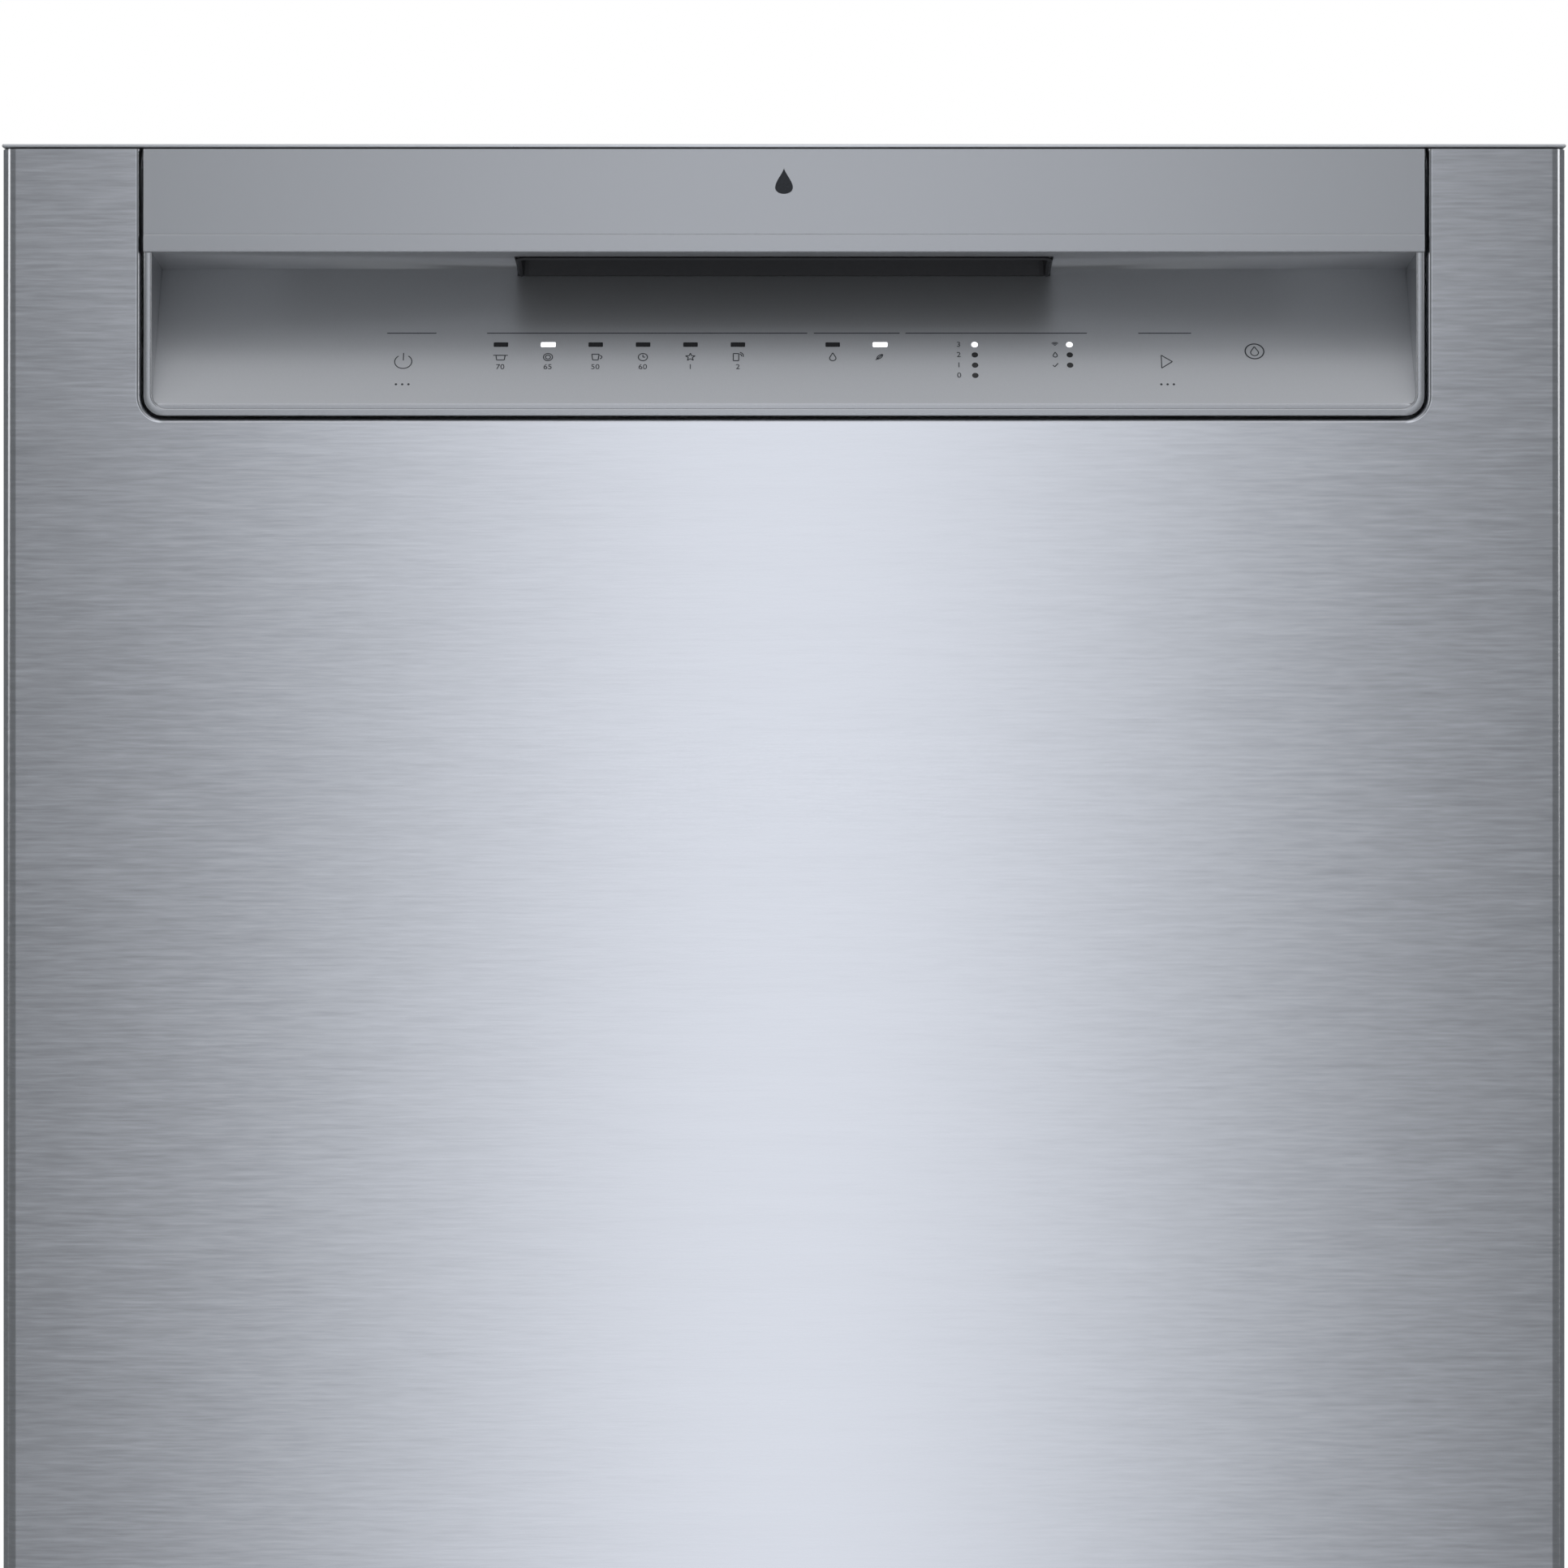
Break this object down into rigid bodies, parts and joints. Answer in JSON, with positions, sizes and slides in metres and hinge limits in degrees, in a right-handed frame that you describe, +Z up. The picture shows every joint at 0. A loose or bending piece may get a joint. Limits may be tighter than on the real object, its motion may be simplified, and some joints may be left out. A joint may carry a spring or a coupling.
{
  "type": "built-in dishwasher",
  "caption": "Built-in dishwasher with a brushed steel drop-down door, a recessed finger pull with a touch control strip, two sliding racks and rotating spray arms.",
  "frame": {"origin": "centre of the footprint at floor level", "axes": "+Z up, the door faces -Y, +X to the right seen from the front"},
  "size_m": [0.598, 0.603, 0.86],
  "materials": {
    "brushed_steel": "horizontally brushed stainless steel",
    "inner_steel": "satin stainless steel",
    "galvanised_steel": "galvanised sheet steel",
    "spring_steel": "drawn spring steel",
    "silver_plastic": "silver grey painted plastic",
    "black_plastic": "fine grained black plastic",
    "dark_plastic": "dark grey moulded plastic",
    "grey_plastic": "grey moulded polypropylene",
    "pale_plastic": "off-white moulded plastic",
    "blue_plastic": "blue moulded plastic",
    "light_guide": "clear light guide",
    "circuit_board": "green solder mask",
    "rack_coating": "grey nylon coating over wire",
    "black_rubber": "soft black seal rubber",
    "bitumen_mat": "bitumen and felt sound mat",
    "kick_paint": "black powder coat",
    "clear_tank": "milky translucent plastic"
  },
  "bodies": {
    "cabinet": {"tub_wrap": "inner_steel", "tub_rear_wall": "inner_steel", "tub_base": "grey_plastic", "tub_frame": "inner_steel", "door_gasket": "black_rubber", "insulation_mats": "bitumen_mat", "counter_brackets": "galvanised_steel", "door_strike": "spring_steel", "base_tray": "dark_plastic", "toe_kick_panel": "kick_paint", "hinge_brackets": "galvanised_steel", "door_springs": "spring_steel", "sump_pot": "dark_plastic", "fine_filter_plate": "inner_steel", "circulation_pump": "dark_plastic", "pump_motor": "galvanised_steel", "drain_pump": "dark_plastic", "drain_outlet": "dark_plastic", "inlet_valve": "pale_plastic", "junction_box": "galvanised_steel", "side_water_tank": "clear_tank", "feed_pipe": "grey_plastic", "top_spray_head": "grey_plastic", "outer_rails": "inner_steel"},
    "door": {"outer_door_panel": "brushed_steel", "door_top_cap": "inner_steel", "control_fascia": "silver_plastic", "handle_grip_insert": "black_plastic", "indicator_lights": "light_guide", "control_board": "circuit_board", "door_inner_liner": "inner_steel", "door_sound_mat": "bitumen_mat", "latch_housing": "dark_plastic", "detergent_dispenser": "grey_plastic", "hinge_arms": "galvanised_steel", "door_foot_seal": "black_rubber", "door_screws": "spring_steel"},
    "latch_hook": {"latch_hook": "pale_plastic"},
    "dispenser_lid": {"dispenser_lid": "grey_plastic"},
    "rinse_aid_cap": {"rinse_aid_cap": "blue_plastic"},
    "sliding_rails": {"sliding_rails": "inner_steel"},
    "upper_rack": {"upper_rack_floor": "rack_coating", "upper_rack_walls": "rack_coating", "upper_rack_wheels": "dark_plastic"},
    "cup_shelf": {"cup_shelf": "rack_coating"},
    "upper_spray_arm": {"upper_spray_arm": "grey_plastic"},
    "lower_rack": {"lower_rack_floor": "rack_coating", "lower_rack_walls": "rack_coating", "cutlery_basket": "grey_plastic"},
    "folding_tines": {"folding_tines": "rack_coating"},
    "front_wheels": {"lower_rack_wheels_front": "dark_plastic"},
    "rear_wheels": {"lower_rack_wheels_rear": "dark_plastic"},
    "lower_spray_arm": {"lower_spray_arm": "grey_plastic"},
    "filter_cylinder": {"filter_cylinder": "grey_plastic"},
    "pump_impeller": {"pump_impeller": "pale_plastic"},
    "drain_impeller": {"drain_impeller": "pale_plastic"},
    "front_foot_left": {"front_foot_left": "dark_plastic"},
    "front_foot_right": {"front_foot_right": "dark_plastic"},
    "rear_foot": {"rear_foot": "dark_plastic"},
    "rear_foot_drive": {"rear_foot_drive": "spring_steel"}
  },
  "joints": [
    {"name": "door_hinge", "type": "hinge", "parent": "cabinet", "child": "door", "pos_m": [0, -0.262, 0.13], "axis": [1, 0, 0], "range_deg": [0, 90], "stiffness_Nm_per_rad": 16, "springref_deg": -5.73, "deforming": ["door_springs"]},
    {"name": "latch_hook_pivot", "type": "hinge", "parent": "door", "child": "latch_hook", "pos_m": [0, -0.2635, 0.836], "axis": [1, 0, 0], "range_deg": [0, 12]},
    {"name": "dispenser_lid_slide", "type": "slide", "parent": "door", "child": "dispenser_lid", "axis": [1, 0, 0], "range_m": [0, 0.075]},
    {"name": "rinse_cap_turn", "type": "hinge", "parent": "door", "child": "rinse_aid_cap", "pos_m": [0.045, -0.24, 0.432], "axis": [0, 1, 0], "range_deg": [0, 90]},
    {"name": "rail_slide", "type": "slide", "parent": "cabinet", "child": "sliding_rails", "axis": [0, -1, 0], "range_m": [0, 0.25]},
    {"name": "upper_rack_slide", "type": "slide", "parent": "sliding_rails", "child": "upper_rack", "axis": [0, -1, 0], "range_m": [0, 0.25]},
    {"name": "cup_shelf_fold", "type": "hinge", "parent": "upper_rack", "child": "cup_shelf", "pos_m": [-0.2365, 0, 0.595], "axis": [0, -1, 0], "range_deg": [0, 90]},
    {"name": "upper_arm_spin", "type": "hinge", "parent": "upper_rack", "child": "upper_spray_arm", "pos_m": [0, -0.0055, 0.495], "axis": [0, 0, 1], "continuous": true},
    {"name": "lower_rack_slide", "type": "slide", "parent": "cabinet", "child": "lower_rack", "axis": [0, -1, 0], "range_m": [0, 0.5]},
    {"name": "tine_fold", "type": "hinge", "parent": "lower_rack", "child": "folding_tines", "pos_m": [0, 0.06, 0.2225], "axis": [-1, 0, 0], "range_deg": [0, 85]},
    {"name": "front_wheels_roll", "type": "hinge", "parent": "lower_rack", "child": "front_wheels", "pos_m": [0, -0.107, 0.1723], "axis": [1, 0, 0], "continuous": true},
    {"name": "rear_wheels_roll", "type": "hinge", "parent": "lower_rack", "child": "rear_wheels", "pos_m": [0, 0.163, 0.1723], "axis": [1, 0, 0], "continuous": true},
    {"name": "lower_arm_spin", "type": "hinge", "parent": "cabinet", "child": "lower_spray_arm", "pos_m": [0, 0.01, 0.19], "axis": [0, 0, 1], "continuous": true},
    {"name": "filter_turn", "type": "hinge", "parent": "cabinet", "child": "filter_cylinder", "pos_m": [0, -0.11, 0.15], "axis": [0, 0, 1], "range_deg": [0, 90]},
    {"name": "pump_impeller_spin", "type": "hinge", "parent": "cabinet", "child": "pump_impeller", "pos_m": [-0.13, 0.09, 0.088], "axis": [0, 1, 0], "continuous": true},
    {"name": "drain_impeller_spin", "type": "hinge", "parent": "cabinet", "child": "drain_impeller", "pos_m": [0.15, -0.05, 0.068], "axis": [0, 1, 0], "continuous": true},
    {"name": "front_foot_left_screw", "type": "slide", "parent": "cabinet", "child": "front_foot_left", "axis": [0, 0, -1], "range_m": [0, 0.05]},
    {"name": "front_foot_right_screw", "type": "slide", "parent": "cabinet", "child": "front_foot_right", "axis": [0, 0, -1], "range_m": [0, 0.05]},
    {"name": "rear_foot_drive_turn", "type": "hinge", "parent": "cabinet", "child": "rear_foot_drive", "pos_m": [0.014, 0, 0.044], "axis": [0, 1, 0], "range_deg": [0, 1800]},
    {"name": "rear_foot_screw", "type": "slide", "parent": "cabinet", "child": "rear_foot", "axis": [0, 0, -1], "range_m": [0, 0.05]}
  ],
  "couplings": [
    {"joint": "rail_slide", "follows": "door_hinge", "m_per_rad": 0.159},
    {"joint": "upper_rack_slide", "follows": "door_hinge", "m_per_rad": 0.159},
    {"joint": "lower_rack_slide", "follows": "door_hinge", "m_per_rad": 0.095},
    {"joint": "front_wheels_roll", "follows": "door_hinge", "ratio": 4.75},
    {"joint": "rear_wheels_roll", "follows": "door_hinge", "ratio": 4.75},
    {"joint": "rear_foot_screw", "follows": "rear_foot_drive_turn", "m_per_rad": 0.0015884}
  ]
}
